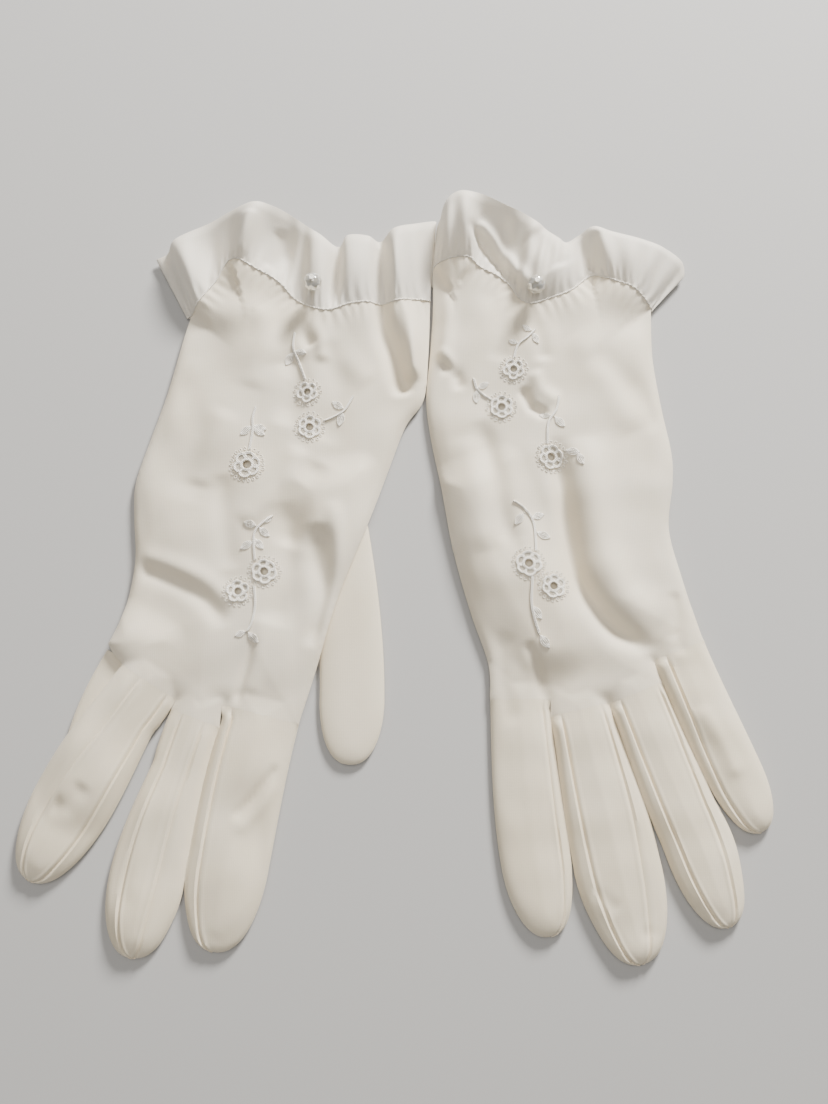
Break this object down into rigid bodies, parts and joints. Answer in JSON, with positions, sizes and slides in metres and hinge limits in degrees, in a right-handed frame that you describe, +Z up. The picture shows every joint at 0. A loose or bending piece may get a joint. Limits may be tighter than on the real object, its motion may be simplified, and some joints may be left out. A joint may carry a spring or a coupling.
{
  "type": "pair of gloves",
  "caption": "Pair of wrist-length nylon gloves laid flat, with sewn finger panels, gathered frill cuffs, a glass bead at each wrist and openwork flower embroidery.",
  "frame": {"origin": "under the middle of the pair, on the surface that it lies on", "axes": "+Z up out of the backs of the gloves, +Y towards the cuffs, fingers towards -Y, +X from the right-hand glove to the left-hand one"},
  "size_m": [0.2579, 0.2762, 0.0178],
  "materials": {
    "nylon": "satin tricot knit",
    "frill": "sheer doubled knit",
    "embroidery": "satin stitch in rayon thread",
    "thread": "twisted thread",
    "glass": "faceted clear glass"
  },
  "bodies": {
    "right_hand": {"right_back_panel": "nylon", "right_palm_panel": "nylon", "right_gather_cord": "thread", "right_wrist_flowers": "embroidery", "right_knuckle_flowers": "embroidery", "right_stems": "embroidery"},
    "right_cuff": {"right_cuff_frill": "frill", "right_bead_thread": "thread"},
    "right_glass_bead": {"right_bead": "glass"},
    "right_thumb": {"right_thumb_back": "nylon", "right_thumb_palm": "nylon"},
    "right_index": {"right_index_back": "nylon", "right_index_palm": "nylon", "right_index_fourchette": "nylon"},
    "right_middle": {"right_middle_back": "nylon", "right_middle_palm": "nylon", "right_middle_fourchettes": "nylon"},
    "right_ring": {"right_ring_back": "nylon", "right_ring_palm": "nylon", "right_ring_fourchettes": "nylon"},
    "right_little": {"right_little_back": "nylon", "right_little_palm": "nylon", "right_little_fourchette": "nylon"},
    "left_hand": {"left_back_panel": "nylon", "left_palm_panel": "nylon", "left_gather_cord": "thread", "left_wrist_flowers": "embroidery", "left_knuckle_flowers": "embroidery", "left_stems": "embroidery"},
    "left_cuff": {"left_cuff_frill": "frill", "left_bead_thread": "thread"},
    "left_glass_bead": {"left_bead": "glass"},
    "left_thumb": {"left_thumb_back": "nylon", "left_thumb_palm": "nylon"},
    "left_index": {"left_index_back": "nylon", "left_index_palm": "nylon", "left_index_fourchette": "nylon"},
    "left_middle": {"left_middle_back": "nylon", "left_middle_palm": "nylon", "left_middle_fourchettes": "nylon"},
    "left_ring": {"left_ring_back": "nylon", "left_ring_palm": "nylon", "left_ring_fourchettes": "nylon"},
    "left_little": {"left_little_back": "nylon", "left_little_palm": "nylon", "left_little_fourchette": "nylon"}
  },
  "joints": [
    {"name": "right_cuff_turn", "type": "hinge", "parent": "right_hand", "child": "right_cuff", "pos_m": [-0.0007, 0.096, 0.008], "axis": [1, 0, 0], "range_deg": [0, 40]},
    {"name": "right_bead_twist", "type": "hinge", "parent": "right_cuff", "child": "right_glass_bead", "pos_m": [-0.0302, 0.0985, 0.0134], "axis": [0, 0, 1], "range_deg": [-90, 90]},
    {"name": "right_thumb_swing", "type": "hinge", "parent": "right_hand", "child": "right_thumb", "pos_m": [-0.0217, 0.016, 0.0019], "axis": [0, 0, 1], "range_deg": [0, 15]},
    {"name": "right_index_lift", "type": "hinge", "parent": "right_hand", "child": "right_index", "pos_m": [-0.0457, -0.056, 0.0046], "axis": [-0.9701, 0.2425, 0], "range_deg": [0, 35]},
    {"name": "right_middle_lift", "type": "hinge", "parent": "right_hand", "child": "right_middle", "pos_m": [-0.0692, -0.057, 0.0046], "axis": [-0.9354, 0.3536, 0], "range_deg": [0, 35]},
    {"name": "right_ring_lift", "type": "hinge", "parent": "right_hand", "child": "right_ring", "pos_m": [-0.0862, -0.044, 0.008], "axis": [-0.8343, 0.5513, 0], "range_deg": [0, 35]},
    {"name": "right_little_untuck", "type": "hinge", "parent": "right_hand", "child": "right_little", "pos_m": [-0.1012, -0.03313, 0.0019], "axis": [0, 0, -1], "range_deg": [0, 20]},
    {"name": "left_cuff_turn", "type": "hinge", "parent": "left_hand", "child": "left_cuff", "pos_m": [-0.0007, 0.096, 0.008], "axis": [1, 0, 0], "range_deg": [0, 40]},
    {"name": "left_bead_twist", "type": "hinge", "parent": "left_cuff", "child": "left_glass_bead", "pos_m": [0.0503, 0.0975, 0.0134], "axis": [0, 0, 1], "range_deg": [-90, 90]},
    {"name": "left_thumb_swing", "type": "hinge", "parent": "left_hand", "child": "left_thumb", "pos_m": [0.0323, 0.018, 0.0019], "axis": [0, 0, -1], "range_deg": [0, 30]},
    {"name": "left_index_lift", "type": "hinge", "parent": "left_hand", "child": "left_index", "pos_m": [0.0423, -0.0505, 0.0046], "axis": [-0.9999, -0.0127, 0], "range_deg": [0, 35]},
    {"name": "left_middle_lift", "type": "hinge", "parent": "left_hand", "child": "left_middle", "pos_m": [0.0638, -0.054, 0.0046], "axis": [-0.9729, -0.2311, 0], "range_deg": [0, 35]},
    {"name": "left_ring_lift", "type": "hinge", "parent": "left_hand", "child": "left_ring", "pos_m": [0.0828, -0.0485, 0.0046], "axis": [-0.9294, -0.3692, 0], "range_deg": [0, 35]},
    {"name": "left_little_lift", "type": "hinge", "parent": "left_hand", "child": "left_little", "pos_m": [0.1003, -0.033, 0.0046], "axis": [-0.9376, -0.3478, 0], "range_deg": [0, 35]},
    {"name": "pair_slide", "type": "slide", "parent": "right_hand", "child": "left_hand", "axis": [1, 0, 0], "range_m": [0, 0.06]}
  ]
}
